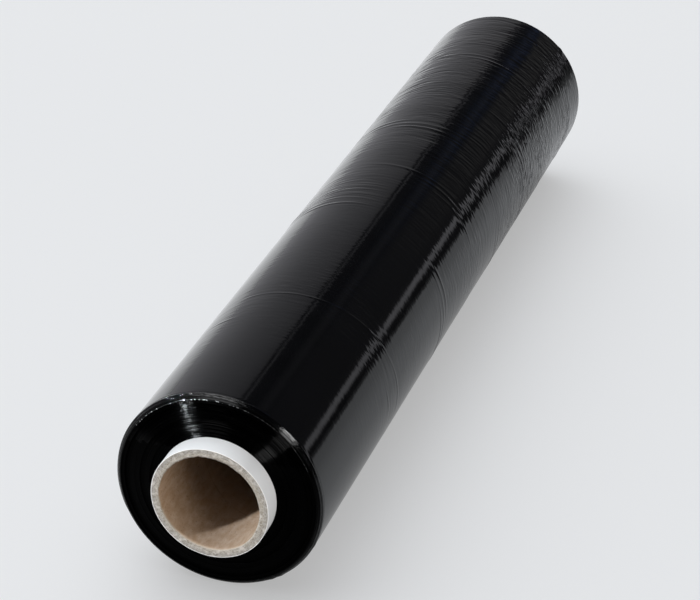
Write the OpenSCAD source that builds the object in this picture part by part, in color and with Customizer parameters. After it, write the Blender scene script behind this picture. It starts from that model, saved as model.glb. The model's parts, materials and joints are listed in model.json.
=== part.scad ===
// Stretch wrap roll: a web of stretch film wound on a paper-covered board core.
// Lengths are in millimetres and angles in degrees. The roll lies on its side along Y, with +Z up.
// The origin is on the surface it lies on, under the middle of the roll.
// An angle round the roll is measured from +X towards +Z, so 90 is the top.

/* [Film] */
// Width of the film web, which is the length of the wound film
film_width = 500; // [320:10:700]
// Outer diameter of the wound film
film_diameter = 102; // [85:1:150]
// Radius that the outer turns round off to at each end
shoulder = 2; // [1:0.25:4]
// Half of the angle that the flat spot under the roll takes up
flat_half_angle = 7; // [5.5:0.5:10]

/* [Turns at the ends] */
// Bands of turns that show as rings on each end face
turn_bands = 8; // [5:1:12]
// Most that one band of turns lies in or out against the others
turn_stagger = 0.4; // [0.1:0.05:0.8]
// Turns that step back round each rounded outer edge
shoulder_turns = 3; // [3:1:6]

/* [Free end of the film] */
// Angle round the roll at which the film ends
tail_angle = 203; // [150:1:240]
// Height of the step at the free end
tail_height = 0.25; // [0.1:0.05:0.5]
// Angle over which the last turn rises to that step
tail_rise = 30; // [15:1:45]

/* [Folds in the film] */
// Distance from the near end to where the fine folds start
folds_start = 185; // [120:5:300]
// Distance from the last folds to the far end
folds_margin = 8; // [6:1:40]
// Length of roll that each group of folds takes up
group_pitch = 21; // [15:1:40]
// Distance between the folds of one group
fold_pitch = 4.6; // [4:0.2:7]
// Height of the tallest fold
fold_height = 0.25; // [0.15:0.05:0.6]
// Width of a fold at its foot
fold_width = 2.8; // [1.6:0.2:4]
// Height of the single creases nearer the front
crease_height = 0.16; // [0.1:0.02:0.4]
// Width of a crease at its foot
crease_width = 1.8; // [1:0.1:2.5]

/* [Core] */
// Bore of the core
core_bore = 50; // [38:1:60]
// Wall of the spirally wound board
board_wall = 3.5; // [2:0.1:8]
// Thickness of the white paper that covers the board
paper_thickness = 0.4; // [0.2:0.1:1]
// How far the core stands out of the film at each end
core_stand_out = 10.5; // [4:0.5:40]

/* [Hidden] */
$fn = 60;

film_radius = film_diameter / 2;
board_radius = core_bore / 2 + board_wall;
core_radius = board_radius + paper_thickness;
core_length = film_width + 2 * core_stand_out;
axis_height = film_radius * cos(flat_half_angle);
near_end = -film_width / 2;

// Turning by the golden angle keeps neighbouring bands and groups from lining up
golden_angle = 137.5;
folds_per_group = 3;
// Half length of a fold round the roll, from the shortest to the longest
fold_reach = [20, 42];
// Share of the full height that the lowest fold keeps
low_fold = 0.6;
// How far a fold's disc is bevelled below the film's surface, so that only bevels show
bevel_below = 0.3;

group_count = floor((film_width - folds_start - folds_margin) / group_pitch);

// Each crease is [distance from the near end, angle round the roll, half length in degrees]
creases = [
    [104, 90, 36],
    [108, 43, 20],
    [114, 4, 22],
    [81, 124, 15],
    [98, 1, 9]
];

// A steady wave from 0 to 1 that scatters heights and lengths
function scatter(step) = (1 + sin(step * golden_angle)) / 2;

// Radius of a disc that breaks the roll's surface by height and sinks back into it at reach on each side
function disc_radius(height, reach) =
    let (top = film_radius + height, side = film_radius * cos(reach))
    (film_radius * film_radius + top * top - 2 * top * side) / (2 * (top - side));

// Outline of one end from the axis outwards, as [radius, distance back from the end plane].
// The bands of turns are stepped rings, and the shoulder's turns step back along a quarter round.
function end_outline(phase) =
    let (face_radius = film_radius - shoulder, band = (face_radius - core_radius) / turn_bands)
    concat(
        [for (i = [0:turn_bands - 1], side = [0, 1])
            [i + side == 0 ? 0 : core_radius + (i + side) * band, turn_stagger * scatter(i + phase)]],
        [for (i = [0:shoulder_turns - 1], side = [0, 1])
            let (back = 90 * (i + 0.5) / shoulder_turns, out = 90 * (i + side) / shoulder_turns)
            [face_radius + shoulder * sin(out), turn_stagger + shoulder * (1 - cos(back))]]
    );

// Turns a shape made round the Z axis so that it lies round the roll's axis, with its +X at angle
module round_the_roll(distance, angle) {
    translate([0, near_end + distance, axis_height])
        rotate([0, -angle, 0])
            rotate([-90, 0, 0])
                children();
}

// The wound film as one turned solid
module wound_film() {
    near_outline = end_outline(0);
    far_outline = end_outline(turn_bands);
    last = len(far_outline) - 1;
    round_the_roll(0, 0)
        rotate_extrude()
            polygon(concat(
                near_outline,
                [for (i = [last:-1:0]) [far_outline[i][0], film_width - far_outline[i][1]]]
            ));
}

// A fold is the rim of a bevelled disc set off the roll's axis, so it rises and dies away round the roll
module fold(distance, angle, reach, height, width) {
    radius = disc_radius(height, reach);
    depth = height + bevel_below;
    half = width / 2 * depth / height;
    round_the_roll(distance, angle)
        translate([film_radius + height - radius, 0, 0])
            rotate_extrude()
                polygon([[0, -half], [radius - depth, -half], [radius, 0], [radius - depth, half], [0, half]]);
}

// The fine folds lie in groups over the far part of the roll
module fine_folds() {
    for (group = [0:group_count - 1], k = [0:folds_per_group - 1]) {
        step = group * folds_per_group + k;
        fold(
            folds_start + group_pitch * (group + 0.5) + fold_pitch * (k - (folds_per_group - 1) / 2),
            group * golden_angle + 16 * (k - 1),
            fold_reach[0] + (fold_reach[1] - fold_reach[0]) * scatter(step),
            fold_height * (low_fold + (1 - low_fold) * scatter(step + 1)),
            fold_width
        );
    }
}

// The few creases that stand alone nearer the front
module single_creases() {
    for (crease = creases)
        fold(crease[0], crease[1], crease[2], crease_height, crease_width);
}

// The last turn rises off the roll and ends in a step along its whole width
module free_end() {
    radius = disc_radius(tail_height, tail_rise);
    inset = shoulder + turn_stagger;
    round_the_roll(inset, tail_angle)
        intersection() {
            translate([film_radius + tail_height - radius, 0, 0])
                cylinder(r = radius, h = film_width - 2 * inset);
            translate([0, 0, -1])
                cube([film_diameter, film_diameter, film_width]);
        }
}

// Everything under the surface that the roll lies on, which leaves its flat spot
module below_the_floor() {
    translate([-film_diameter, near_end - 1, -film_diameter])
        cube([2 * film_diameter, film_width + 2, film_diameter]);
}

// The film wound on the core, with its flat spot
module film_roll() {
    color([0.05, 0.05, 0.06])
        difference() {
            union() {
                wound_film();
                fine_folds();
                single_creases();
                free_end();
            }
            round_the_roll(-1, 0)
                cylinder(r = core_radius, h = film_width + 2);
            below_the_floor();
        }
}

// A tube along the roll's axis that is as long as the core
module core_layer(inner_radius, outer_radius) {
    round_the_roll(-core_stand_out, 0)
        difference() {
            cylinder(r = outer_radius, h = core_length);
            translate([0, 0, -1])
                cylinder(r = inner_radius, h = core_length + 2);
        }
}

// The brown board tube, whose cut ends and bore are open to view
module core_board() {
    color([0.62, 0.5, 0.38])
        core_layer(core_bore / 2, board_radius);
}

// The smooth white paper wound over the board
module core_paper() {
    color([0.93, 0.93, 0.92])
        core_layer(board_radius, core_radius);
}

film_roll();
core_board();
core_paper();
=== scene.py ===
# %% [markdown]
# A roll of black stretch film lies on its side on a pale floor.
# The real thing has three pieces: a board tube, the white paper wound over it, and one long web of
# thin film wound round both a few hundred times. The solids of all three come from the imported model,
# and this script gives each of them its finish. The film is the hard one: it is nearly a mirror, so
# the eye reads its folds and ripples from the light that they bend, and those have to be real shapes.

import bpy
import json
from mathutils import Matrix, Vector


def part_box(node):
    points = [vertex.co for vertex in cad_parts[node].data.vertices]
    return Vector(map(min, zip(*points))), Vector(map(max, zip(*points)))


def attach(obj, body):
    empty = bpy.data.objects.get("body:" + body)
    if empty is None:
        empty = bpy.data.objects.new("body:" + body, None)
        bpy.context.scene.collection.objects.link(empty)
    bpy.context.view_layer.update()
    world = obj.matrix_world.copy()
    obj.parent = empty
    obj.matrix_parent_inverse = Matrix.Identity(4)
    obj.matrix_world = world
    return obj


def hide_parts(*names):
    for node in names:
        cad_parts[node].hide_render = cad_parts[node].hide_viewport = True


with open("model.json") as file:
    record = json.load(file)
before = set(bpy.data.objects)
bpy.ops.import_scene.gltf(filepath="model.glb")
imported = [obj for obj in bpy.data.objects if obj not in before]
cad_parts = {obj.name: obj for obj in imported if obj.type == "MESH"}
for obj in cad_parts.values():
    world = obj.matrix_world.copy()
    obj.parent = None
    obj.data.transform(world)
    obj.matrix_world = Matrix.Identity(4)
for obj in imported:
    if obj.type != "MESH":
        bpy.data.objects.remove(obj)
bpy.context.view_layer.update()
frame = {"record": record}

# %% Modules
import json
import math

import bmesh
import bpy
from mathutils import Vector, noise

# %% [markdown]
# Sizes are read from the frame, so the finish always fits the solids. The roll's axis runs along Y at
# the height of the bore's mount. An angle round the roll starts at +X and grows towards +Z, so 90 is
# the top. The flat spot takes 7 degrees on each side, which is why the axis lies a little lower than
# the film's radius.

# %% Sizes from the frame
MM = 0.001
# Places or radii that are nearer than this count as the same
TOUCHING = 1e-6
FLAT_HALF_ANGLE = math.radians(7)

core_bore = next(mount for mount in frame["record"]["mounts"] if mount["name"] == "core_bore")
axis_height = core_bore["pos_m"][2]
bore_radius = core_bore["dims"]["r_mm"] * MM
film_radius = axis_height / math.cos(FLAT_HALF_ANGLE)


def reach_of(node):
    """Outer radius of a core node, and where it starts and ends along the roll."""
    low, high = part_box(node)
    return (high.x - low.x) / 2, low.y, high.y


board_radius, core_near, core_far = reach_of("core_board")
core_radius = reach_of("core_paper")[0]
film_low, film_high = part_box("film_roll")
near_end = film_low.y
far_end = film_high.y
middle = Vector((0, 0, axis_height))
print("film from", round(near_end, 4), "to", round(far_end, 4), "radius", round(film_radius, 4))
print("core radius", round(core_radius, 4), "board", round(board_radius, 4), "bore", bore_radius)

# %% [markdown]
# The camera stands in front and to the right, and looks down at 28 degrees. Its place was worked out
# from the outlines of the end face, the core and the sides of the roll. A long lens keeps the roll
# from tapering too fast.

# %% Camera
CAMERA_PLACE = Vector((0.3437, -1.0876, 0.6311))
CAMERA_TARGET = Vector((-0.0083, -0.0323, 0.0396))
SENSOR_WIDTH = 36
LENS = 119.5
FARTHEST_SEEN = 50


def aim(thing, target):
    """Turn a camera or lamp so that it looks at a point."""
    thing.rotation_euler = (target - thing.location).to_track_quat("-Z", "Y").to_euler()


scene = bpy.context.scene
camera = bpy.data.objects.new("camera", bpy.data.cameras.new("camera"))
scene.collection.objects.link(camera)
camera.location = CAMERA_PLACE
aim(camera, CAMERA_TARGET)
camera.data.sensor_width = SENSOR_WIDTH
camera.data.lens = LENS
camera.data.clip_end = FARTHEST_SEEN
scene.camera = camera
scene.view_settings.view_transform = "Standard"
above = (CAMERA_PLACE - CAMERA_TARGET).normalized().z
print("camera looks down by", round(math.degrees(math.asin(above)), 1))

# %% [markdown]
# A material is a small tree of nodes. These helpers make one, set its plain values straight on the
# shader and link the others to it, and do the sums that come up often. They also give the coordinates
# that suit a roll: a place centred on the axis, and the distance from that axis. Those read Object
# coordinates, which stay put on the piece when it moves.

# %% Helpers for materials


def new_material(name, **values):
    """A material with its Principled shader, and the shader's values by the names of its sockets."""
    material = bpy.data.materials.new(name)
    material.use_nodes = True
    shader = material.node_tree.nodes["Principled BSDF"]
    for socket, value in values.items():
        shader.inputs[socket.replace("_", " ")].default_value = value
    return material, material.node_tree, shader


def feed(tree, shader, **results):
    """Link results of other nodes to a shader, by the names of its sockets."""
    for socket, result in results.items():
        tree.links.new(result, shader.inputs[socket.replace("_", " ")])


# %% Helpers for nodes


def add(tree, kind, inputs=(), **settings):
    """Add a node; inputs holds pairs of a socket's name or number and a value or a socket to link."""
    made = tree.nodes.new("ShaderNode" + kind)
    for name, value in settings.items():
        setattr(made, name, value)
    for socket, value in inputs:
        if isinstance(value, bpy.types.NodeSocket):
            tree.links.new(value, made.inputs[socket])
        else:
            made.inputs[socket].default_value = value
    return made


def math_node(tree, operation, *values):
    """The result of a Math node."""
    return add(tree, "Math", list(enumerate(values)), operation=operation).outputs[0]


def product(tree, *factors):
    """Two or more values or sockets multiplied."""
    result, *others = factors
    for factor in others:
        result = math_node(tree, "MULTIPLY", result, factor)
    return result


def apart(tree, value, other):
    """How far one value lies from another, on either side."""
    return math_node(tree, "ABSOLUTE", math_node(tree, "SUBTRACT", value, other))


def remap(tree, value, low, high, to_low=0, to_high=1):
    """Spread the part of a value between low and high over a new range, and clamp the rest."""
    ends = {"From Min": low, "From Max": high, "To Min": to_low, "To Max": to_high}
    return add(tree, "MapRange", [("Value", value), *ends.items()]).outputs["Result"]


def blend_colours(tree, factor, first, second):
    """Mix two colours, each a tuple or a socket."""
    inputs = [(0, factor), (6, first), (7, second)]
    return add(tree, "Mix", inputs, data_type="RGBA").outputs[2]


def parts_of(tree, vector):
    """The X, Y and Z of a vector, by those names."""
    return add(tree, "SeparateXYZ", [(0, vector)]).outputs


# %% Helpers for coordinates and grain


def centred(tree, scale=(1, 1, 1)):
    """Object coordinates about the roll's axis, stretched by scale."""
    place = add(tree, "TexCoord").outputs["Object"]
    moved = add(tree, "Mapping", [("Vector", place), ("Location", -middle)]).outputs[0]
    return add(tree, "VectorMath", [(0, moved), (1, scale)], operation="MULTIPLY").outputs[0]


def from_axis(tree):
    """Distance from the roll's axis, in metres."""
    flat = centred(tree, (1, 0, 1))
    return add(tree, "VectorMath", [(0, flat)], operation="LENGTH").outputs["Value"]


def grain(tree, scale, detail=2, roughness=0.5):
    """A noise from 0 to 1; scale says how often it changes in a metre, as one number or one for each axis."""
    scales = scale if isinstance(scale, tuple) else (scale, scale, scale)
    inputs = [("Vector", centred(tree, scales)), ("Scale", 1), ("Detail", detail), ("Roughness", roughness)]
    return add(tree, "TexNoise", inputs).outputs["Fac"]


def bumped(tree, height, distance, filter_width=0.1):
    """A bump whose height of 1 stands for distance in metres, sampled over a part of a pixel."""
    inputs = [("Height", height), ("Distance", distance), ("Filter Width", filter_width)]
    return add(tree, "Bump", inputs).outputs["Normal"]


# %% [markdown]
# The floor is one wide sheet of pale card, matt so that it shows only the roll's soft shadow. To the
# camera and in reflections only it also glows a little: painted light that keeps the shadow pale and
# lights no matt surface. In reflections it ends: it fades to the right, in front and far to the left,
# and has a dark gap beyond the roll on the right. The glossy film shows that as bands of light and
# dark. The floor isn't part of the object.

# %% Levels of the floor
FLOOR_HALF = 3.0
# The floor's glow is painted light, which only the camera and reflections see
# Colours of the floor's own glow, of its card to plain light, and of its card to the eye
FLOOR_GLOW = (0.80, 0.80, 0.80, 1)
FLOOR_BOUNCE = (0.24, 0.235, 0.23, 1)
FLOOR_SEEN = (0.415, 0.42, 0.43, 1)
BLACK = (0, 0, 0, 1)
# Each change runs between two places, in metres from the middle, and has a value at each of them.
# These are the glow to the camera from front to back, and in reflections from left to right.
GLOW_BACKWARDS = (-0.35, 0.15, 0.53, 0.52)
GLOW_TO_RIGHT = (-0.1, 0.1, 0.65, 0.17)
# These are the shares of the floor that reflections keep
KEPT_TO_RIGHT = (0.15, 0.3, 1, 0.85)
KEPT_FAR_RIGHT = (0.7, 0.95, 1, 0.15)
KEPT_IN_FRONT = (-0.55, -0.3, 0.12, 1)
KEPT_TO_LEFT = (-1.3, -0.25, 0.6, 1)
# The gap starts at a slanting line, and takes its share away on the right
GAP_SLANT = -1.6
GAP_BEYOND = (0.1, 0.35)
GAP_TO_RIGHT = (0.17, 0.25, 0, 0.85)
print("far on the right, reflections keep", KEPT_FAR_RIGHT[-1], "of the floor")

# %% Floor
mesh = bmesh.new()
bmesh.ops.create_grid(mesh, x_segments=1, y_segments=1, size=FLOOR_HALF)
floor = bpy.data.objects.new("floor", bpy.data.meshes.new("floor"))
mesh.to_mesh(floor.data)
mesh.free()
scene.collection.objects.link(floor)

floor_material, tree, shader = new_material(
    "pale card", Roughness=0.7, Specular_IOR_Level=0.2, Emission_Color=FLOOR_GLOW,
)
rays = add(tree, "LightPath").outputs
mirrored = rays["Is Glossy Ray"]
seen = math_node(tree, "MAXIMUM", rays["Is Camera Ray"], mirrored)
place = parts_of(tree, add(tree, "TexCoord").outputs["Object"])
right = place["X"]
back = place["Y"]
slanting = math_node(tree, "MULTIPLY_ADD", right, GAP_SLANT, back)
gap = product(tree, remap(tree, slanting, *GAP_BEYOND), remap(tree, right, *GAP_TO_RIGHT))
kept = product(
    tree, remap(tree, right, *KEPT_TO_RIGHT), remap(tree, right, *KEPT_FAR_RIGHT),
    remap(tree, back, *KEPT_IN_FRONT), remap(tree, right, *KEPT_TO_LEFT),
    math_node(tree, "SUBTRACT", 1, gap),
)
to_eye = blend_colours(tree, mirrored, FLOOR_SEEN, blend_colours(tree, kept, BLACK, FLOOR_SEEN))
card = blend_colours(tree, seen, FLOOR_BOUNCE, to_eye)
to_camera = remap(tree, back, *GLOW_BACKWARDS)
to_film = product(tree, remap(tree, right, *GLOW_TO_RIGHT), kept)
glow = add(tree, "Mix", [(0, mirrored), (2, to_camera), (3, to_film)]).outputs[0]
feed(tree, shader, Base_Color=card, Emission_Strength=product(tree, seen, glow))
floor.data.materials.append(floor_material)
print("floor", 2 * FLOOR_HALF, "m wide")

# %% [markdown]
# Black film has almost no colour of its own. What shows is the room in its surface, so the room is
# part of the finish. It is written here as a list of brightness by height over the horizon, from the
# right round over the top to the left: a thin bright strip low on the right, a dark space overhead,
# and a large screen on the left that is brightest low down. Behind the far end stands a wall of grey
# and navy, and nearly overhead a small bright box. The side of the room in front is dark. Only
# reflections see all that. Matt surfaces see a plain light that is stronger overhead, behind and to
# the left, and the camera sees a pale backdrop.

# %% Levels of the room
PALE = (0.80, 0.805, 0.815, 1)
# Pairs of an angle from the right horizon over the top to the left one, and a brightness
ROOM = [
    (0, 0.025), (3.2, 0.025), (5, 0.3), (6.8, 0.5), (10.4, 0.5), (12.8, 0.045), (24, 0.04), (45, 0.042),
    (60, 0.038), (64, 0.03), (70, 0.052), (75, 0.034), (79, 0.016), (91, 0.02), (92.7, 0.18), (94.5, 0.02),
    (96, 0.03), (98, 0.165), (104, 0.205), (112, 0.245), (122, 0.275), (132, 0.305), (147, 0.36),
    (158, 0.40), (170, 0.44), (179, 0.52),
]
# The screens are a little blue
SCREEN_BLUE = 1.06
# The same for the wall behind the far end: an angle, and how much grey and how much navy shows
FAR_WALL = [
    (0, 0, 0), (18, 0, 0), (28, 0.07, 0), (42, 0.055, 0), (54, 0.065, 0), (59, 0.02, 0.01),
    (63, 0.005, 0.045), (70, 0.005, 0.06), (77, 0.008, 0.04), (84, 0.015, 0.01), (97, 0, 0),
    (100, 0.05, 0), (125, 0.05, 0), (140, 0.02, 0),
]
# Each change runs between two sizes of a direction's part along the roll, with a strength at both
ROOM_BEHIND = (0.1, 0.6, 0.03, 1)
WALL_BEHIND = (0.845, 0.935, 0, 1.2)
# The strip on the right rises a little towards the far end, and what is over it, by its angle, doesn't
STRIP_RISES = (0.8, 0.9, 0, math.radians(4))
STRIP_ALONE = (0.25, 0.6, 1, 0)
# The box is a small round patch of light, which the rounded rims of the roll mirror as thin lines
BOX_PLACE = Vector((-0.31, -0.16, 0.95))
BOX_LIGHT = (0.93, 0.955, 0, 4.5)
# The plain light is strongest here, and falls off to its low level
SKY_COLOUR = (0.97, 1, 1.03, 1)
SKY_MIDDLE = Vector((-0.38, 0.40, 0.83))
SKY_LOW = 0.075
SKY_HIGH = 2.5
SKY_SPREAD = 3
print("the room has", len(ROOM) + len(FAR_WALL), "levels")

# %% World
world = bpy.data.worlds.new("studio")
scene.world = world
world.use_nodes = True
tree = world.node_tree
sky = add(tree, "TexCoord").outputs["Generated"]
direction = parts_of(tree, sky)
backwards = direction["Y"]
level_turn = math_node(tree, "ARCTAN2", math_node(tree, "ABSOLUTE", direction["Z"]), direction["X"])
rising = product(tree, remap(tree, backwards, *STRIP_RISES), remap(tree, level_turn, *STRIP_ALONE))
turn = math_node(tree, "SUBTRACT", level_turn, rising)


def wall(colours, strength):
    """A background whose colours go by the angle over the horizon, seen from the roll."""
    ramp = add(tree, "ValToRGB", [(0, math_node(tree, "DIVIDE", turn, math.pi))])
    stops = ramp.color_ramp.elements
    while len(stops) < len(colours):
        stops.new(0.5)
    for stop, (angle, colour) in zip(stops, colours):
        stop.position = angle / 180
        stop.color = (*colour, 1)
    return add(tree, "Background", [("Color", ramp.outputs["Color"]), ("Strength", strength)]).outputs[0]


def towards(place):
    """How nearly a direction points to a place: 1 is straight at it."""
    inputs = [(0, sky), (1, place.normalized())]
    return add(tree, "VectorMath", inputs, operation="DOT_PRODUCT").outputs["Value"]


screen_colours = [(angle, (level, level, SCREEN_BLUE * level)) for angle, level in ROOM]
wall_colours = [(angle, (grey, grey + 0.25 * navy, 0.95 * grey + navy)) for angle, grey, navy in FAR_WALL]
screens = wall(screen_colours, remap(tree, backwards, *ROOM_BEHIND))
far_wall = wall(wall_colours, remap(tree, backwards, *WALL_BEHIND))
box_light = remap(tree, towards(BOX_PLACE), *BOX_LIGHT)
box = add(tree, "Background", [("Color", PALE), ("Strength", box_light)]).outputs[0]
both_walls = add(tree, "AddShader", [(0, screens), (1, far_wall)]).outputs[0]
room = add(tree, "AddShader", [(0, both_walls), (1, box)]).outputs[0]
print("nodes in the room:", len(tree.nodes))

# %% What each ray sees
nearness = math_node(tree, "MAXIMUM", towards(SKY_MIDDLE), 0)
spread = math_node(tree, "POWER", nearness, SKY_SPREAD)
level = math_node(tree, "MULTIPLY_ADD", spread, SKY_HIGH - SKY_LOW, SKY_LOW)
plain = add(tree, "Background", [("Color", SKY_COLOUR), ("Strength", level)]).outputs[0]
backdrop = add(tree, "Background", [("Color", PALE)]).outputs[0]
rays = add(tree, "LightPath").outputs
lit = add(tree, "MixShader", [(0, rays["Is Glossy Ray"]), (1, plain), (2, room)]).outputs[0]
seen = add(tree, "MixShader", [(0, rays["Is Camera Ray"]), (1, lit), (2, backdrop)]).outputs[0]
tree.links.new(seen, tree.nodes["World Output"].inputs["Surface"])
print("plain light from", SKY_LOW, "to", SKY_HIGH)

# %% [markdown]
# Lamps do the rest. The key stands low on the left and in front, and lights the right lower part of
# the bore and the core's cut end. A stronger lamp in the same place lights only the film, where it
# draws a thin glint down the edges of the turns, and one on the right picks out the rounded rim.
# Those two give no diffuse light, so the film stays black. From the right, a soft warm lamp fills the
# bore's left wall and a whiter one fills the paper. Each lamp is linked to the pieces it is for, so
# the floor keeps the soft shadow of the plain light and gets no hard one.

# %% Lamps
FROM_KEY = (-0.668, -0.601, 0.438)
FROM_RIM = (0.74, -0.40, 0.54)
FROM_FILL = (0.93, -0.30, 0.22)
# The rim's lamp is a strip, rolled about the line that it shines along
RIM_LENGTH = 1.7
RIM_ROLL = math.radians(110)

near_middle = Vector((0, near_end, axis_height))
film_pieces = bpy.data.collections.new("film")
core_pieces = bpy.data.collections.new("core")
board_pieces = bpy.data.collections.new("board")
paper_pieces = bpy.data.collections.new("paper")


def lamp(name, place, distance, size, watts, colour, pieces):
    """An area lamp that looks at the near end from a direction and lights only some pieces."""
    light = bpy.data.objects.new(name, bpy.data.lights.new(name, "AREA"))
    scene.collection.objects.link(light)
    light.location = near_middle + distance * Vector(place).normalized()
    aim(light, near_middle)
    light.data.size = size
    light.data.energy = watts
    light.data.color = colour
    light.light_linking.receiver_collection = pieces
    return light


lamp("key", FROM_KEY, 2.2, 0.15, 53, (1, 1, 1), core_pieces)
glint = lamp("glint", FROM_KEY, 2.2, 0.12, 65, (0.88, 0.95, 1), film_pieces)
rim = lamp("rim", FROM_RIM, 2.0, 0.5, 32, (1, 1, 1), film_pieces)
lamp("fill for the board", FROM_FILL, 2.0, 1.5, 28, (1, 0.87, 0.73), board_pieces)
lamp("fill for the paper", FROM_FILL, 2.0, 1.5, 41, (1, 0.955, 0.92), paper_pieces)
rim.data.shape = "RECTANGLE"
rim.data.size_y = RIM_LENGTH
rim.rotation_euler.rotate_axis("Z", RIM_ROLL)
for light in (glint, rim):
    light.visible_diffuse = False
print("lamps:", len(bpy.data.lights))

# %% [markdown]
# The wound film could be carried over from the frame, but its turns and folds there are faceted, and
# every facet would show in so glossy a surface. It is made again here, on the same sizes: an outline
# of the section is spun round the axis, which is how such a roll comes off a winder, and the spun
# rows are then moved in or out by small amounts. The outline holds the stepped bands of turns on the
# end faces, with finer turns within each band, one turn that stands out as a lip, and the rounded
# turns of the shoulder.

# %% Rounded turns of the shoulder
SHOULDER = 2 * MM
# Each turn goes from one place to another. A place is in millimetres inwards from the film's radius
# and back from the end plane.
SHOULDER_TURNS = [((1.5, 0.45), (0.7, 1.4)), ((0.65, 1.5), (0, 2.4))]
ARC_STEPS = 4
# A power of 1 makes them round, and 2 would make them straight slopes
ARC_POWER = 1.5


def shoulder_arc(inner, start, outer, end):
    """A rounded turn from one place to another, as pairs of radius and distance back."""
    for step in range(ARC_STEPS + 1):
        lean = math.radians(90 * step / ARC_STEPS)
        inwards = inner + (outer - inner) * math.sin(lean) ** ARC_POWER
        back = end + (start - end) * max(0, math.cos(lean)) ** ARC_POWER
        yield film_radius - inwards * MM, back * MM


print("rounded turns on a shoulder:", len(SHOULDER_TURNS))

# %% Outline of the wound film
TURN_BANDS = 8
TURNS_PER_BAND = 3
TURN_STAGGER = 0.4 * MM
FINE_STAGGER = 0.07 * MM
TURN_GAP = 0.06 * MM
# The lip's place, and its section as steps outwards and steps up in millimetres
LIP_RADIUS = film_radius - 2.55 * MM
LIP_SECTION = [(-0.22, 0), (-0.14, 0.16), (0, 0.22), (0.14, 0.16), (0.22, 0)]
GOLDEN_ANGLE = 137.5


def scatter(step):
    """A steady wave from 0 to 1 that scatters heights and lengths."""
    return (1 + math.sin(math.radians(step * GOLDEN_ANGLE))) / 2


def end_outline(phase):
    """One end from the bore outwards, as pairs of radius and distance back from the end plane."""
    points = []
    band = (film_radius - SHOULDER - core_radius) / TURN_BANDS
    turn = band / TURNS_PER_BAND
    for step in range(TURN_BANDS * TURNS_PER_BAND):
        back = TURN_STAGGER * scatter(step // TURNS_PER_BAND + phase)
        back += FINE_STAGGER * scatter(5 * step + phase)
        start = core_radius + step * turn
        points += [(start + (TURN_GAP if step else 0), back), (start + turn - TURN_GAP, back)]
    lip = next(number for number, (radius, _) in enumerate(points) if radius > LIP_RADIUS)
    foot = points[lip - 1][1]
    points[lip:lip] = [(LIP_RADIUS + out * MM, foot - up * MM) for out, up in LIP_SECTION]
    for start, end in SHOULDER_TURNS:
        points += shoulder_arc(*start, *end)
    return points


near_points = [(radius, near_end + back) for radius, back in end_outline(0)]
far_points = [(radius, far_end - back) for radius, back in end_outline(TURN_BANDS)]
print("points on each end:", len(near_points))

# %% [markdown]
# The film's side needs close rows only where it ripples. It is split at a few places along the roll,
# and each stretch gets its own spacing. A full spin needs its last column merged with its first.

# %% Spin an outline
MERGED = 1e-7


def spin_outline(points, columns, cuts_of):
    """Spin a closed outline of radius and place; cuts_of says how often each edge is cut first."""
    bm = bmesh.new()
    ring = [bm.verts.new((radius, y, axis_height)) for radius, y in points]
    section = [bm.edges.new(pair) for pair in zip(ring, ring[1:] + ring[:1])]
    for edge in section:
        cuts = cuts_of(edge)
        if cuts > 0:
            bmesh.ops.subdivide_edges(bm, edges=[edge], cuts=cuts)
    bmesh.ops.spin(
        bm, geom=bm.verts[:] + bm.edges[:], cent=middle, axis=(0, 1, 0), angle=2 * math.pi,
        steps=columns, use_merge=True, use_duplicate=False,
    )
    bmesh.ops.remove_doubles(bm, verts=bm.verts, dist=MERGED)
    bmesh.ops.recalc_face_normals(bm, faces=bm.faces)
    for face in bm.faces:
        face.smooth = True
    return bm


# %% Spin the film
COLUMNS = 120
# Each stretch ends at a place along the roll and has its own distance between rows, in millimetres
STRETCHES = [(-0.176, 1.9), (-0.128, 0.55), (-0.075, 1.7), (-near_points[-1][1], 0.64)]


def film_cuts(edge):
    """How often an edge of the film's outline is cut: only the long ones on its side are."""
    places = [corner.co.y for corner in edge.verts]
    if min(corner.co.x for corner in edge.verts) < film_radius - TOUCHING:
        return 0
    centre = sum(places) / 2
    gap = next(gap for end, gap in STRETCHES if centre < end)
    return round(abs(places[0] - places[1]) / (gap * MM)) - 1


side_points = [(film_radius, end) for end, gap in STRETCHES[:-1]]
film = spin_outline(near_points + side_points + far_points[::-1], COLUMNS, film_cuts)
print("film vertices:", len(film.verts), "triangles:", 2 * len(film.faces))

# %% [markdown]
# Now the relief. The folds stand where the solid has them, in groups of three that fade out round the
# roll, but with a rounded section in place of a sharp one. The few creases nearer the front lie on
# one slanting loop, so the rows there are slanted too and each crease keeps to its own row. Ripples
# come from a noise that changes fast along the roll and slowly round it, which is how thin film
# shrinks in folds when it is wound tight, and a second, coarser noise gathers them in patches.

# %% Humps on the roll


def rise(turned, height, reach):
    """Height at an angle from a fold's middle, of a disc that breaks the surface by height."""
    top = film_radius + height
    side = film_radius * math.cos(math.radians(reach))
    radius = (film_radius ** 2 + top ** 2 - 2 * top * side) / (2 * (top - side))
    offset = top - radius
    across = offset * math.sin(math.radians(turned))
    return offset * math.cos(math.radians(turned)) + math.sqrt(radius ** 2 - across ** 2) - film_radius


def rounded(distance, half):
    """A smooth hump of height 1 that ends at half on each side."""
    return (1 - (distance / half) ** 2) ** 2 if abs(distance) < half else 0


def turned_from(angle, start):
    """The smaller angle between two angles, in degrees."""
    return abs((angle - start + 180) % 360 - 180)


# %% Folds
FOLDS_START = 185 * MM
FOLDS_MARGIN = 8 * MM
GROUP_PITCH = 21 * MM
FOLD_PITCH = 4.6 * MM
FOLD_HEIGHT = 0.25 * MM
FOLD_WIDTH = 2.8 * MM
FOLDS_PER_GROUP = 3
# Angle from one fold of a group to the next, and half the angle that a fold takes up
FOLD_TURN = 16
FOLD_REACH = (20, 42)
# Share of the full height that the lowest fold keeps
LOW_FOLD = 0.6


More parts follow.
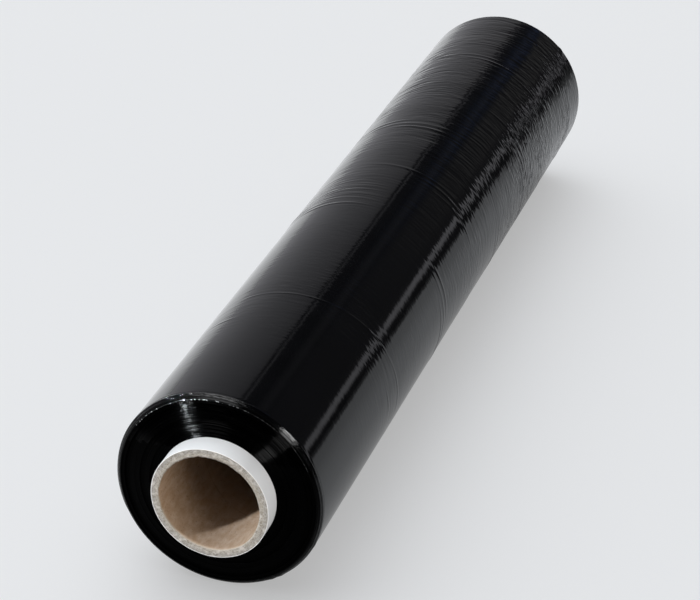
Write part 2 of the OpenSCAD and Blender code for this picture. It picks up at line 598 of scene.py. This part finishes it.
def folds_in_group(group):
    """The folds of one group as place, angle, reach and height."""
    for k in range(FOLDS_PER_GROUP):
        step = group * FOLDS_PER_GROUP + k
        place = near_end + FOLDS_START + GROUP_PITCH * (group + 0.5) + FOLD_PITCH * (k - 1)
        reach = FOLD_REACH[0] + (FOLD_REACH[1] - FOLD_REACH[0]) * scatter(step)
        height = FOLD_HEIGHT * (LOW_FOLD + (1 - LOW_FOLD) * scatter(step + 1))
        yield place, group * GOLDEN_ANGLE + FOLD_TURN * (k - 1), reach, height


group_count = int((far_end - near_end - FOLDS_START - FOLDS_MARGIN) / GROUP_PITCH)
groups = [list(folds_in_group(group)) for group in range(group_count)]
print("folds:", sum(len(group) for group in groups))


def fold_relief(angle, y):
    """Height of the folds at an angle round the roll and a place along it."""
    group = int((y - near_end - FOLDS_START) // GROUP_PITCH)
    if not 0 <= group < group_count:
        return 0
    height = 0
    for place, start, reach, top in groups[group]:
        turned = turned_from(angle, start)
        if turned < reach:
            height = max(height, rise(turned, top, reach) * rounded(y - place, FOLD_WIDTH / 2))
    return height


# %% Creases
CREASE_HEIGHT = 0.16 * MM
# How far a crease reaches behind its row and in front of it, where it is steep
CREASE_BEHIND = 1.2 * MM
CREASE_STEEP = 0.6 * MM
# Each crease is a row's place along the roll, an angle round it and half its length in degrees
CREASES = [(-0.140, 90, 36), (-0.140, 43, 20), (-0.140, 4, 22), (-0.163, 124, 15), (-0.155, 1, 9)]


def crease_relief(angle, row):
    """Height of the creases at an angle round the roll and on a row: steep in front and gentle behind."""
    height = 0
    for place, start, reach in CREASES:
        turned = turned_from(angle, start)
        half = CREASE_BEHIND if row > place else CREASE_STEEP
        if turned < reach:
            height = max(height, rise(turned, CREASE_HEIGHT, reach) * rounded(row - place, half))
    return height


print("creases:", len(CREASES))

# %% Ripples
RIPPLE = 0.24 * MM
SWELL = 0.2 * MM
# Where the ripples grow along the roll, in millimetres from its middle, and where a few lie by the creases
RIPPLES_GROW = (-100, 120)
RIPPLES_BY_CREASES = -140
CREASE_SURROUNDS = 35


def ease(value, low, high):
    """A smooth step from 0 at low to 1 at high."""
    share = min(1, max(0, (value - low) / (high - low)))
    return share * share * (3 - 2 * share)


def drift(x, y, z, across, along, shift=0):
    """A noise from -1 to 1 that takes the distances across and along to change; shift gives another one."""
    return noise.noise((x / across, y / along, z / across + shift))


def ripple_relief(x, y, z):
    """Height of the ripples at a place, in metres; x, y and z are in millimetres from the axis."""
    bend = 9 * drift(x, y, z, 70, 90) + 2.2 * drift(x, y, z, 17, 15, 5)
    fine = drift(x, y + bend, z, 12, 1.4, 9)
    crests = 0.25 - abs(drift(x, y + bend, z, 17, 2.8, 21))
    swell = drift(x, y, z, 40, 16, 33)
    patch = ease(drift(x, y, z, 32, 24, 40), -0.45, 0.25)
    spread = 0.1 + 0.9 * ease(y, *RIPPLES_GROW)
    near_crease = 0.25 * rounded(y - RIPPLES_BY_CREASES, CREASE_SURROUNDS)
    share = (spread + near_crease) * (0.3 + 0.7 * patch)
    return RIPPLE * share * (0.5 * fine + crests) + SWELL * spread * 0.5 * swell


print("ripples up to", RIPPLE, "m and swells up to", SWELL, "m")

# %% [markdown]
# The free end of the film lies low on the left, out of sight from the front. The last turn rises
# over 30 degrees to a small step and drops back. A step needs two columns close together, so the
# column behind it is turned up against it. A few small burrs stand on the rims, where the roll was
# knocked. Last, everything that would lie under the floor is set on it, which gives the flat spot.

# %% Free end, slanting rows and burrs
TAIL_ANGLE = 203
TAIL_RISE = 30
TAIL_HEIGHT = 0.25 * MM
TAIL_INSET = SHOULDER + TURN_STAGGER
# The column that lies this many columns behind the free end, from and to, is turned up against it
COLUMN_BEHIND = (0.6, 1.6)
STEP_ANGLE = 0.3
# How far a row slides along the roll at its right side and on top, and where the rows slide
SLANT = (4.5 * MM, -5.6 * MM)
SLANT_MIDDLE = -0.145
SLANT_REACH = (0.035, 0.085)
# Each burr is an angle, a height and whether it is at the far end
BURRS = [(-54, 0.5 * MM, 0), (-60, 0.4 * MM, 0), (-24, 0.45 * MM, 0), (117, 0.3 * MM, 0), (42, 0.8 * MM, 1)]
BURR_HALF = 2.5


def slant(angle, y):
    """How far a row slides along the roll near the creases."""
    share = 1 - ease(abs(y - SLANT_MIDDLE), *SLANT_REACH)
    turned = math.radians(angle)
    return share * (SLANT[0] * math.cos(turned) + SLANT[1] * math.sin(turned))


def tail_relief(angle, y):
    """Height of the last turn over the one below it."""
    behind = (TAIL_ANGLE - angle) % 360
    if behind > TAIL_RISE or min(y - near_end, far_end - y) < TAIL_INSET - TOUCHING:
        return 0
    return max(0, rise(behind, TAIL_HEIGHT, TAIL_RISE))


def burr_relief(angle, y):
    """Height of the burrs, which lie within two shoulders' width of an end."""
    height = 0
    for start, top, far in BURRS:
        along = (far_end - y if far else y - near_end) / (2 * SHOULDER)
        height = max(height, top * rounded(turned_from(angle, start), BURR_HALF) * rounded(along, 1))
    return height


print("burrs:", len(BURRS))

# %% Move the film's rows
column = 360 / COLUMNS
for corner in film.verts:
    height = corner.co.z - axis_height
    radius = math.hypot(corner.co.x, height)
    if radius < film_radius - SHOULDER:
        corner.co.z = max(0, corner.co.z)
        continue
    angle = math.degrees(math.atan2(height, corner.co.x))
    row = corner.co.y
    y = row + slant(angle, row)
    share = ease(radius, film_radius - SHOULDER, film_radius)
    relief = ripple_relief(corner.co.x / MM, y / MM, height / MM) + burr_relief(angle, y)
    if radius > film_radius - TOUCHING:
        relief += fold_relief(angle, y) + crease_relief(angle, row) + tail_relief(angle, y)
        if COLUMN_BEHIND[0] < (angle - TAIL_ANGLE) % 360 / column < COLUMN_BEHIND[1]:
            angle = TAIL_ANGLE + STEP_ANGLE
    radius += share * relief
    turned = math.radians(angle)
    corner.co = (radius * math.cos(turned), y, max(0, axis_height + radius * math.sin(turned)))
print("lowest point", min(corner.co.z for corner in film.verts))

# %% [markdown]
# The film has a smooth skin round its side, which mirrors the room. What is finer than the relief is
# a bump in that skin, stronger on the far part and on the right. A noise crosses its middle value
# along winding lines, so the distance from that value draws creases, and a noise that changes faster
# along the roll than round it lays them round the roll as short strokes. One cluster of longer
# strokes lies on the left of the middle, and both rims are a little frayed.

# %% Skin of the film
FILM_BLACK = (0.0016, 0.0016, 0.0020, 1)
FILM_NAVY = (0.0026, 0.0027, 0.0036, 1)
TINT_SCALE = 25
# The film is hazier in patches: the range of a noise, and the roughness at its two ends
HAZE_SCALE = (30, 60, 30)
HAZE = (0.35, 0.7, 0.045, 0.10)

side_finish, tree, shader = new_material("stretch film", IOR=1.5)
tint = blend_colours(tree, grain(tree, TINT_SCALE), FILM_BLACK, FILM_NAVY)
haze = remap(tree, grain(tree, HAZE_SCALE, 3), *HAZE)
feed(tree, shader, Base_Color=tint, Roughness=haze)
place = parts_of(tree, centred(tree))
across = place["X"]
along = place["Y"]
print("finish:", side_finish.name)

# %% Grain and short strokes
PATCH_SCALE = (30, 26, 30)
PATCHES = (0.4, 0.6, 0.3, 1)
STROKE_SCALE = (120, 300, 120)
GRAIN_SCALE = (150, 540, 150)
NOISE_MIDDLE = 0.5
# Each change runs between two places, in metres from the middle, and has a value at each of them.
# The bump grows along the roll, and has its full share near the creases too.
BUMP_ALONG = (-0.08, 0.2)
CREASES_MIDDLE = -0.15
BUMP_FROM_CREASES = (0.02, 0.07, 1, 0.4)
# On the right it grows with the place along the roll, and low down it starts sooner
BUMP_TO_RIGHT = (0.015, 0.045)
RIGHT_ALONG = (-0.06, 0.14, 0.6, 2.8)
BUMP_LOW_RIGHT = (0.0455, 0.049, 0, 2.6)
LOW_RIGHT_ALONG = (-0.14, 0.02)
# Towards the far end the strokes are stronger and the grain is weaker
STROKES_ALONG = (-0.12, 0.1, 0.5, 2.4)
GRAIN_ALONG = (0, 0.12, 1, 0.5)

near_creases = remap(tree, apart(tree, along, CREASES_MIDDLE), *BUMP_FROM_CREASES)
crumpled = math_node(tree, "MAXIMUM", remap(tree, along, *BUMP_ALONG), near_creases)
patches = remap(tree, grain(tree, PATCH_SCALE, 1), *PATCHES)
to_right = remap(tree, across, *BUMP_TO_RIGHT, 1, remap(tree, along, *RIGHT_ALONG))
low_right = product(tree, remap(tree, across, *BUMP_LOW_RIGHT), remap(tree, along, *LOW_RIGHT_ALONG))
share = product(tree, patches, crumpled, math_node(tree, "ADD", to_right, low_right))
creased = apart(tree, grain(tree, STROKE_SCALE, 1), NOISE_MIDDLE)
strokes = product(tree, creased, remap(tree, along, *STROKES_ALONG))
fine = product(tree, grain(tree, GRAIN_SCALE), remap(tree, along, *GRAIN_ALONG))
finely = math_node(tree, "ADD", fine, strokes)
print("strokes change", STROKE_SCALE[1], "times in a metre along the roll")

# %% Cluster of long strokes and frayed rims
CLUSTER_SCALE = (26, 330, 26)
CLUSTER_PLACE = -0.021
CLUSTER_ALONG = (0.008, 0.028, 4.2, 0)
CLUSTER_ACROSS = (-0.005, 0.012, 1, 0)
# It is weaker at the left edge, where the eye sees the skin at a low angle
CLUSTER_AT_EDGE = (-0.049, -0.036, 0.2, 1)
FRAY_SCALE = (260, 3200, 260)
FRAY_AT_RIM = (far_end - 2.6 * MM, far_end - 2.2 * MM, 0, 1.8)
SIDE_BUMP = 0.12 * MM

cluster = product(
    tree, apart(tree, grain(tree, CLUSTER_SCALE, 1), NOISE_MIDDLE), remap(tree, across, *CLUSTER_AT_EDGE),
    remap(tree, apart(tree, along, CLUSTER_PLACE), *CLUSTER_ALONG), remap(tree, across, *CLUSTER_ACROSS),
)
crackle = math_node(tree, "MULTIPLY_ADD", finely, share, cluster)
frayed = product(tree, grain(tree, FRAY_SCALE), remap(tree, apart(tree, along, 0), *FRAY_AT_RIM))
feed(tree, shader, Normal=bumped(tree, math_node(tree, "ADD", crackle, frayed), SIDE_BUMP))
print("bump up to about", SIDE_BUMP, "m")

# %% [markdown]
# On the ends hundreds of thin edges lie side by side, and light that falls between them doesn't come
# back. Each groove slopes outwards like a saw's tooth, so a glint shows only across the turns. One
# function makes three such finishes: the plain one, a glossier one for the loose outer turns, and one
# for the low part, which is dusty. The lip has small nicks that catch the light on the left, and a
# bright coat that shows only in the nicks gives them.

# %% Finish of the film's ends
END_BLACK = (0.0010, 0.0010, 0.0012, 1)
GROOVE = 0.4 * MM
GROOVE_DEPTH = 0.31 * MM
# Each change runs between two distances from the axis, and has a value at each of them: the
# roughness, what the shoulder adds to it, the steepness, and what the outer turns add to it
END_ROUGH = (33 * MM, 46 * MM, 0.14, 0.08)
SHOULDER_ROUGH = (film_radius - 1.7 * MM, film_radius - 1.3 * MM, 0, 0.16)
END_STEEP = (37.5 * MM, 39.5 * MM, 1.12, 0.7)
OUTER_STEEP = (42 * MM, 44 * MM, 0, 0.24)
# The lip has no grooves within these distances of its middle, and is duller
LIP_EDGE = (0.15 * MM, 0.3 * MM)
LIP_ROUGH = 0.4
DUST_ROUGH = 0.35
# The grooves wander over the end, and lie unevenly by their distance from the axis: each as the
# scale of a noise and a number of grooves. The pits between them have a share of a groove's depth.
WANDER_SCALE = 70
WANDER = 1.2
UNEVEN_SCALE = 1000
UNEVEN = 1.3
PIT_SCALE = 800
PITS = 0.04
# A narrow filter keeps the grooves sharp
GROOVE_FILTER = 0.03


def ring_noise(tree, radius, scale):
    """A noise from 0 to 1 that changes only with the distance from the axis."""
    inputs = [("W", product(tree, radius, scale)), ("Scale", 1), ("Detail", 3)]
    return add(tree, "TexNoise", inputs, noise_dimensions="1D").outputs["Fac"]


def groove_finish(name, specular, dust=0):
    """Black edges of turns: each groove slopes outwards, so a glint shows only where a lamp faces it."""
    finish, tree, shader = new_material(name, Base_Color=END_BLACK, IOR=1.5, Specular_IOR_Level=specular)
    radius = from_axis(tree)
    wander = product(tree, grain(tree, WANDER_SCALE), WANDER)
    uneven = math_node(tree, "MULTIPLY_ADD", ring_noise(tree, radius, UNEVEN_SCALE), UNEVEN, wander)
    turns = math_node(tree, "MULTIPLY_ADD", radius, 1 / GROOVE, uneven)
    slope = math_node(tree, "SUBTRACT", 1, math_node(tree, "FRACT", turns))
    off_lip = remap(tree, apart(tree, radius, LIP_RADIUS), *LIP_EDGE)
    steep = math_node(tree, "ADD", remap(tree, radius, *END_STEEP), remap(tree, radius, *OUTER_STEEP))
    pits = product(tree, grain(tree, PIT_SCALE), PITS)
    depth = math_node(tree, "MULTIPLY_ADD", slope, product(tree, steep, off_lip), pits)
    rough = math_node(tree, "ADD", remap(tree, radius, *END_ROUGH), remap(tree, radius, *SHOULDER_ROUGH))
    lip_rough = remap(tree, off_lip, 0, 1, LIP_ROUGH + dust, dust)
    feed(tree, shader, Roughness=math_node(tree, "ADD", rough, lip_rough))
    feed(tree, shader, Normal=bumped(tree, depth, GROOVE_DEPTH, GROOVE_FILTER))
    return finish


end_finish = groove_finish("edges of the turns", specular=0.035)
rim_finish = groove_finish("edges of the outer turns", specular=0.18)
dusty_finish = groove_finish("dusty edges of the turns", specular=0.012, dust=DUST_ROUGH)
print("finishes:", end_finish.name, rim_finish.name, dusty_finish.name, sep=", ")

# %% Nicks in the lip
NICK_SCALE = 900
NICK_SHARE = (0.54, 0.6)
NICKS_TO_LEFT = (0, 0.02, 1, 0.1)

lip_finish, tree, shader = new_material(
    "nicked lip of the outer turns", Base_Color=END_BLACK, Specular_IOR_Level=0.1, Roughness=0.5,
    Coat_IOR=4, Coat_Roughness=0.4,
)
to_left = remap(tree, parts_of(tree, centred(tree))["X"], *NICKS_TO_LEFT)
nicks = remap(tree, grain(tree, NICK_SCALE, 1), *NICK_SHARE)
feed(tree, shader, Coat_Weight=product(tree, nicks, to_left))
print("finish:", lip_finish.name)

# %% [markdown]
# Each face of the film now gets its finish by where it is: on the side or the shoulder, high or low
# on an end, among the loose outer turns or on the lip. The shoulder changes from skin to edges where
# it leans enough, and sooner on the side where the outer turns are frayed and dull.

# %% Finish of each face
# How far a face of the shoulder leans from the side before it gets the finish of the ends, as the size
# of its normal along the roll, and the same where the outer turns are frayed and dull
END_LEAN = 0.68
DULL_LEAN = 0.2
DULL_SIDE = math.radians(215)
DULL_EDGE = (-0.05, 0.15)
DULL_WANDER = 0.15
# The outer turns lie more loosely and glint more, as far round as this measure of dullness
LOOSE_TURNS = 3.0 * MM
LOOSE_LIMIT = 0.3
LIP_HALF = 0.25 * MM
# Below this height over the axis the ends are dusty from the floor
DUST_HEIGHT = 20 * MM
SIDE, END, RIM, DUSTY, LIP = range(5)

for face in film.faces:
    centre = face.calc_center_median()
    height = centre.z - axis_height
    radius = math.hypot(centre.x, height)
    dull = math.cos(math.atan2(height, centre.x) - DULL_SIDE)
    dull += DULL_WANDER * noise.noise(20 * centre / film_radius)
    lean = END_LEAN + (DULL_LEAN - END_LEAN) * ease(dull, *DULL_EDGE)
    at_end = abs(centre.y) > far_end - 1.3 * SHOULDER
    face.material_index = SIDE
    if at_end and (radius < film_radius - SHOULDER or abs(face.normal.y) > lean):
        on_lip = abs(radius - LIP_RADIUS) < LIP_HALF
        outer = radius > film_radius - LOOSE_TURNS
        high = height > DUST_HEIGHT
        if outer and high and dull < LOOSE_LIMIT:
            face.material_index = LIP if on_lip else RIM
        else:
            face.material_index = END if outer or high else DUSTY
        face.smooth = radius > film_radius - SHOULDER or on_lip
print("faces of the lip:", sum(face.material_index == LIP for face in film.faces))

# %% Hand over the film


def hand_over(bm, name, materials, *lit_with):
    """Make an object of a finished bmesh, and put it in the collections of the lamps that light it."""
    piece = bpy.data.objects.new(name, bpy.data.meshes.new(name))
    bm.to_mesh(piece.data)
    bm.free()
    scene.collection.objects.link(piece)
    for material in materials:
        piece.data.materials.append(material)
    for pieces in lit_with:
        pieces.objects.link(piece)
    return piece


film_finishes = [side_finish, end_finish, rim_finish, dusty_finish, lip_finish]
wound_film = hand_over(film, "wound_film", film_finishes, film_pieces)
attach(wound_film, "root")
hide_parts("film_roll")
print("wound film:", len(wound_film.data.polygons), "faces")

# %% [markdown]
# The board tube is wound from strips of grey-brown board on a slant. Its ends are sawn, so they show
# the layers as rough, broken rings. The inner edge is a little ragged, and on one side the saw has
# turned it in as a small burr. The strips meet in a spiral seam inside the bore. The tube is spun
# from its section like the film, with close rings on the two cut ends, and then roughened.

# %% Spin the board
BOARD_COLUMNS = 160
BOARD_ROW = 2.6 * MM
BOARD_RINGS = 9


def board_cuts(edge):
    """The cut ends get close rings, the bore gets rows, and the hidden outside stays plain."""
    first, second = (corner.co for corner in edge.verts)
    if abs(first.y - second.y) < TOUCHING:
        return BOARD_RINGS
    return round((core_far - core_near) / BOARD_ROW) if first.x < bore_radius + TOUCHING else 0


board_section = [
    (bore_radius, core_near), (board_radius, core_near), (board_radius, core_far), (bore_radius, core_far),
]
board = spin_outline(board_section, BOARD_COLUMNS, board_cuts)
print("board triangles:", 2 * len(board.faces))

# %% Roughen the board
# The seam winds once round the bore in this length, and starts at this part of a turn
BORE_LEAD = 93 * MM
SEAM_PHASE = 0.323
PLY_STEP = 0.12 * MM
BORE_WAVE = 0.03 * MM
SAWN = 0.22 * MM
RAGGED = 0.9 * MM
BITTEN_SIDE = math.radians(125)
# How far the saw has turned the inner edge in, and on which side
BURR = 0.55 * MM
BURR_SIDE = math.radians(60)

for corner in board.verts:
    height = corner.co.z - axis_height
    radius = math.hypot(corner.co.x, height)
    angle = math.atan2(height, corner.co.x)
    x, y, z = (part / MM for part in (corner.co.x, corner.co.y, height))
    at_end = min(corner.co.y - core_near, core_far - corner.co.y) < TOUCHING
    if at_end and radius < board_radius - TOUCHING:
        layers = drift(x, y, z, 2.5, 1, 1.3 * radius / MM) + drift(x, y, z, 0.8, 1)
        inwards = -1 if corner.co.y > 0 else 1
        corner.co.y += inwards * SAWN * max(0, 0.45 + 0.5 * layers)
    if radius < bore_radius + TOUCHING:
        ply = (angle / (2 * math.pi) + corner.co.y / BORE_LEAD - SEAM_PHASE) % 1
        move = PLY_STEP * (ply - 0.5) + BORE_WAVE * drift(x, y, z, 9, 20)
        if at_end:
            bitten = 0.35 + 0.65 * ease(math.cos(angle - BITTEN_SIDE), 0, 0.7)
            burr = BURR * ease(math.cos(angle - BURR_SIDE), -0.5, 0.3)
            move = RAGGED * bitten * max(0, drift(x, y, z, 1.5, 1, 60)) - burr
        corner.co.x += move * math.cos(angle)
        corner.co.z += move * math.sin(angle)
print("a ply step of", PLY_STEP, "m in the bore")

# %% [markdown]
# In the bore, brown board shows its fibres, specks and the worn seam between two strips. It is
# painted pale along the sawn edge, where the fibres stand up, and darker deep inside, where a real
# room's light hardly reaches. The sawn ends show broken layers, beige inside and grey outside.

# %% Finish of the bore
BOARD_BROWN = (0.33, 0.235, 0.16, 1)
BOARD_TAN = (0.38, 0.28, 0.195, 1)
FIBRE_PALE = (0.45, 0.36, 0.285, 1)
SPECK_BROWN = (0.2, 0.14, 0.09, 1)
SEAM_BROWN = (0.12, 0.08, 0.05, 1)
EDGE_PALE = (0.47, 0.43, 0.375, 1)
# Painted shade: the colour that the board takes deep inside the bore
PAINTED_SHADE_BROWN = (0.08, 0.052, 0.036, 1)
FIBRE_SCALE = (420, 160, 420)
FIBRE_BUMP = 0.12 * MM
CLOUD_SCALE = 45
SPECK_SCALE = 1100
WEAR_SCALE = 90
# The range of a noise over which one colour turns to the next, and how much of it at both ends
FIBRE_RANGE = (0.35, 0.7)
SPECK_RANGE = (0.62, 0.72, 0, 0.7)
# The seam as a part of a ply's width from its middle, and how worn it is
SEAM_LINE = (0.492, 0.5)
SEAM_WORN = (0.35, 0.6, 0.05, 0.35)
# Each change runs between two distances from the middle of the roll
EDGE_ALONG = (core_far - 1.6 * MM, core_far - 0.4 * MM, 0, 0.8)
PAINTED_SHADE_ALONG = (0.16, 0.245, 0.55, 0)

bore_finish, tree, shader = new_material("grey-brown board", Roughness=0.85, Specular_IOR_Level=0.25)
fibres = grain(tree, FIBRE_SCALE, detail=4, roughness=0.6)
specks = remap(tree, grain(tree, SPECK_SCALE), *SPECK_RANGE)
clouds = blend_colours(tree, grain(tree, CLOUD_SCALE, 3), BOARD_BROWN, BOARD_TAN)
fibrous = blend_colours(tree, remap(tree, fibres, *FIBRE_RANGE), clouds, FIBRE_PALE)
speckled = blend_colours(tree, specks, fibrous, SPECK_BROWN)
place = parts_of(tree, centred(tree))
turn = math_node(tree, "DIVIDE", math_node(tree, "ARCTAN2", place["Z"], place["X"]), 2 * math.pi)
wound = math_node(tree, "ADD", turn, math_node(tree, "DIVIDE", place["Y"], BORE_LEAD))
ply = math_node(tree, "FRACT", math_node(tree, "SUBTRACT", wound, SEAM_PHASE))
seam = remap(tree, apart(tree, ply, 0.5), *SEAM_LINE)
worn = remap(tree, grain(tree, WEAR_SCALE), *SEAM_WORN)
seamed = blend_colours(tree, product(tree, seam, worn), speckled, SEAM_BROWN)
depth = apart(tree, place["Y"], 0)
edged = blend_colours(tree, remap(tree, depth, *EDGE_ALONG), seamed, EDGE_PALE)
# Deep in the bore the board is painted darker, as painted shade
shaded = blend_colours(tree, remap(tree, depth, *PAINTED_SHADE_ALONG), edged, PAINTED_SHADE_BROWN)
feed(tree, shader, Base_Color=shaded, Normal=bumped(tree, fibres, FIBRE_BUMP))
print("finish:", bore_finish.name)

# %% Finish of the sawn ends
CUT_GREY = (0.41, 0.402, 0.383, 1)
CUT_BEIGE = (0.465, 0.435, 0.385, 1)
CUT_DARK = (0.23, 0.205, 0.175, 1)
CUT_PALE = (0.58, 0.555, 0.52, 1)
# How often the layers change in a metre, across the wall and in any direction
LAYER_SCALE = 4200
BREAK_SCALE = 1100
LAYER_BUMP = 0.3 * MM
LAYER_RANGE = (0.36, 0.56)
PALE_SCALE = 500
PALE_RANGE = (0.5, 0.68)
CUT_MARGIN = 0.8 * MM

sawn_finish, tree, shader = new_material("sawn board", Roughness=0.9, Specular_IOR_Level=0.2)
layer = product(tree, from_axis(tree), LAYER_SCALE)
broken = centred(tree, (BREAK_SCALE, BREAK_SCALE, BREAK_SCALE))
inputs = [("Vector", broken), ("W", layer), ("Scale", 1), ("Detail", 4)]
layers = add(tree, "TexNoise", inputs, noise_dimensions="4D").outputs["Fac"]
outer = remap(tree, from_axis(tree), bore_radius + CUT_MARGIN, board_radius - CUT_MARGIN)
plies = blend_colours(tree, outer, CUT_BEIGE, CUT_GREY)
cut = blend_colours(tree, remap(tree, layers, *LAYER_RANGE), CUT_DARK, plies)
pale = blend_colours(tree, remap(tree, grain(tree, PALE_SCALE, 3), *PALE_RANGE), cut, CUT_PALE)
feed(tree, shader, Base_Color=pale, Normal=bumped(tree, layers, LAYER_BUMP))
print("finish:", sawn_finish.name)

# %% Hand over the board
CUT_FACING = 0.7

for face in board.faces:
    face.material_index = 1 if abs(face.normal.y) > CUT_FACING else 0
core_tube = hand_over(board, "board_tube", [bore_finish, sawn_finish], core_pieces, board_pieces)
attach(core_tube, "root")
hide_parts("core_board")
print("board tube:", len(core_tube.data.polygons), "faces")

# %% [markdown]
# The paper over the board is smooth and white with a satin face. Its cut edge is painted much paler
# than that face, a painted highlight that shows as a thin bright line round the board. It is a thin
# tube, spun from its section, with its corners bevelled.

# %% Paper
PAPER_COLUMNS = 160
PAPER_EDGE = 0.17 * MM
SHARP_ANGLE = 1

paper = spin_outline(
    [(board_radius, core_near), (core_radius, core_near), (core_radius, core_far), (board_radius, core_far)],
    PAPER_COLUMNS, lambda edge: 0,
)
rims = [edge for edge in paper.edges if len(edge.link_faces) == 2 and edge.calc_face_angle() > SHARP_ANGLE]
print("bevelled edges:", len(rims))
bmesh.ops.bevel(
    paper, geom=rims, offset=PAPER_EDGE, offset_type="OFFSET", segments=2, profile=0.5,
    affect="EDGES", material=-1, clamp_overlap=True,
)
for face in paper.faces:
    face.smooth = True

# %% Finish of the paper
PAPER_WHITE = (0.565, 0.585, 0.60, 1)
PAPER_BRIGHT = (0.605, 0.62, 0.635, 1)
# The cut edge is painted far paler than the paper's face, as a painted highlight
EDGE_HIGHLIGHT_WHITE = (0.86, 0.865, 0.87, 1)
EDGE_HIGHLIGHT_BRIGHT = (0.92, 0.92, 0.92, 1)
MOTTLE_SCALE = 160
PAPER_GRAIN = 900
PAPER_BUMP = 0.01 * MM
PULP_SCALE = 700
PULP_GRAIN = 1500
PULP_BUMP = 0.03 * MM

paper_finish, tree, shader = new_material("white paper", Roughness=0.5, Specular_IOR_Level=0.4)
mottle = blend_colours(tree, grain(tree, MOTTLE_SCALE, 3), PAPER_WHITE, PAPER_BRIGHT)
feed(tree, shader, Base_Color=mottle, Normal=bumped(tree, grain(tree, PAPER_GRAIN, 3), PAPER_BUMP))

edge_finish, tree, shader = new_material("cut edge of the paper", Roughness=0.7, Specular_IOR_Level=0.3)
# Painted highlight along the paper's cut edge
edge_highlight = blend_colours(tree, grain(tree, PULP_SCALE), EDGE_HIGHLIGHT_WHITE, EDGE_HIGHLIGHT_BRIGHT)
feed(tree, shader, Base_Color=edge_highlight, Normal=bumped(tree, grain(tree, PULP_GRAIN), PULP_BUMP))
print("finishes:", paper_finish.name, edge_finish.name, sep=", ")

# %% Hand over the paper
EDGE_FACING = 0.5

for face in paper.faces:
    face.material_index = 1 if abs(face.normal.y) > EDGE_FACING else 0
core_cover = hand_over(paper, "paper_cover", [paper_finish, edge_finish], core_pieces, paper_pieces)
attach(core_cover, "root")
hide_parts("core_paper")
print("paper cover:", len(core_cover.data.polygons), "faces")
